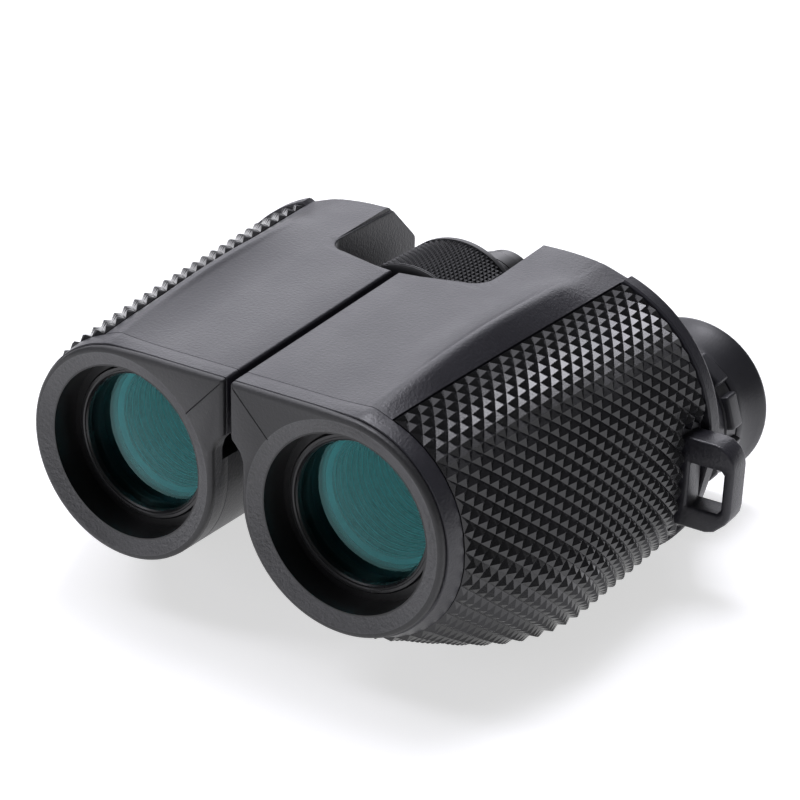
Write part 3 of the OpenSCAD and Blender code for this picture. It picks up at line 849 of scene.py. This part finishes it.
lug = {
    "front": 64.0, "rear": 69.4, "inner": 49.0, "outer": 61.5, "top": -0.2, "low": -17.6, "bevel": 0.55,
    "holeInner": 53.0, "holeOuter": 59.6, "holeLow": -13.4, "holeTop": -5.0, "holeCorner": 0.7,
}
outline = [
    (lug["inner"], lug["low"]), (57.0, lug["low"]), (58.6, lug["low"] + 0.5), (60.6, -15.2), (61.3, -13.9),
    (lug["outer"], -12.4), (lug["outer"], -4.6), (61.2, -2.9), (60.2, -1.5), (58.8, -0.5),
    (57.3, lug["top"]), (lug["inner"], lug["top"]),
]
inner, outer, corner = lug["holeInner"], lug["holeOuter"], lug["holeCorner"]
low, top = lug["holeLow"], lug["holeTop"]
window = [
    (inner, low), (outer - corner, low), (outer, low + corner),
    (outer, top - corner), (outer - corner, top), (inner, top),
]


def lugBar(name, shape, y0, y1):
    return loft(name, [[place(x, y, z) for x, z in shape] for y in (y0, y1)], "housing")


loop = lugBar("lug_left", outline, lug["front"], lug["rear"])
cutAway(loop, [lugBar("hole", window, lug["front"] - 2, lug["rear"] + 2)])
step = loop.modifiers.new("round", "BEVEL")
step.width, step.segments = lug["bevel"] * mm, 3
step.limit_method, step.angle_limit = "ANGLE", math.radians(50)
bake(loop)
settle(loop, 40)
handOver(loop, "lug", ["strap_lug"])
print("strap lugs made")

# Floor, lights and camera

floorSize = 6.0
floorCorners = [(x * floorSize, y * floorSize, 0) for x, y in ((-1, -1), (1, -1), (1, 1), (-1, 1))]
floor = makeObject("floor", floorCorners, [(0, 1, 2, 3)])
paint = bpy.data.materials.new("paleFloor")
paint.use_nodes = True
paper = {
    "Base Color": (0.6, 0.6, 0.61, 1), "Roughness": 0.8, "Specular IOR Level": 0.1,
    "Emission Color": (1, 1, 1, 1), "Emission Strength": 0.62,
}
for key, value in paper.items():
    paint.node_tree.nodes["Principled BSDF"].inputs[key].default_value = value
floor.data.materials.append(paint)

world = bpy.data.worlds.new("studio")
bpy.context.scene.world = world
world.use_nodes = True
world.node_tree.nodes["Background"].inputs["Color"].default_value = (1, 1, 1, 1)
world.node_tree.nodes["Background"].inputs["Strength"].default_value = 0.12


def areaLight(name, at, target, width, height, radiance):
    light = bpy.data.lights.new(name, "AREA")
    light.shape, light.size, light.size_y = "RECTANGLE", width, height
    light.energy = radiance * math.pi * width * height
    light.color = (0.93, 0.925, 1.0)
    obj = bpy.data.objects.new(name, light)
    bpy.context.scene.collection.objects.link(obj)
    obj.location = at
    obj.rotation_euler = (Vector(target) - Vector(at)).to_track_quat("-Z", "Y").to_euler()


subject = (0.0, 0.0, 0.03)
areaLight("overhead", (-0.5, 0.35, 1.3), subject, 1.8, 1.8, 1.3)
areaLight("behind", (-0.85, 1.25, 0.72), subject, 1.8, 0.8, 2.2)
areaLight("keyTop", (-0.12, 0.18, 1.0), subject, 0.35, 0.35, 13.0)
areaLight("keyLeft", (-0.6, -0.35, 0.8), subject, 0.32, 0.32, 7.0)
areaLight("frontLow", (-0.58, -0.95, 0.42), subject, 0.5, 0.35, 3.0)

camera = {
    "target": (33.1, 0.0, 25.19), "azimuth": 32.37, "elevation": 24.33, "roll": 1.67,
    "distance": 322.7, "lens": 96.093,
}
lens = bpy.data.cameras.new("camera")
lens.sensor_width = 36
lens.lens = camera["lens"]
lens.clip_start, lens.clip_end = 0.01, 50
eye = bpy.data.objects.new("camera", lens)
bpy.context.scene.collection.objects.link(eye)
a, e, r = (math.radians(camera[k]) for k in ("azimuth", "elevation", "roll"))
back = Vector((math.sin(a) * math.cos(e), -math.cos(a) * math.cos(e), math.sin(e)))
eye.location = place(*camera["target"]) + back * camera["distance"] * mm
right = Vector((math.cos(a), math.sin(a), 0))
up = back.cross(right)
rolledRight = right * math.cos(r) + up * math.sin(r)
rolledUp = up * math.cos(r) - right * math.sin(r)
eye.rotation_mode = "QUATERNION"
eye.rotation_quaternion = Matrix((rolledRight, rolledUp, back)).transposed().to_quaternion()
bpy.context.scene.camera = eye
bpy.context.scene.view_settings.view_transform = "Standard"
bpy.context.scene.view_settings.look = "None"
print("floor, lights and camera made")
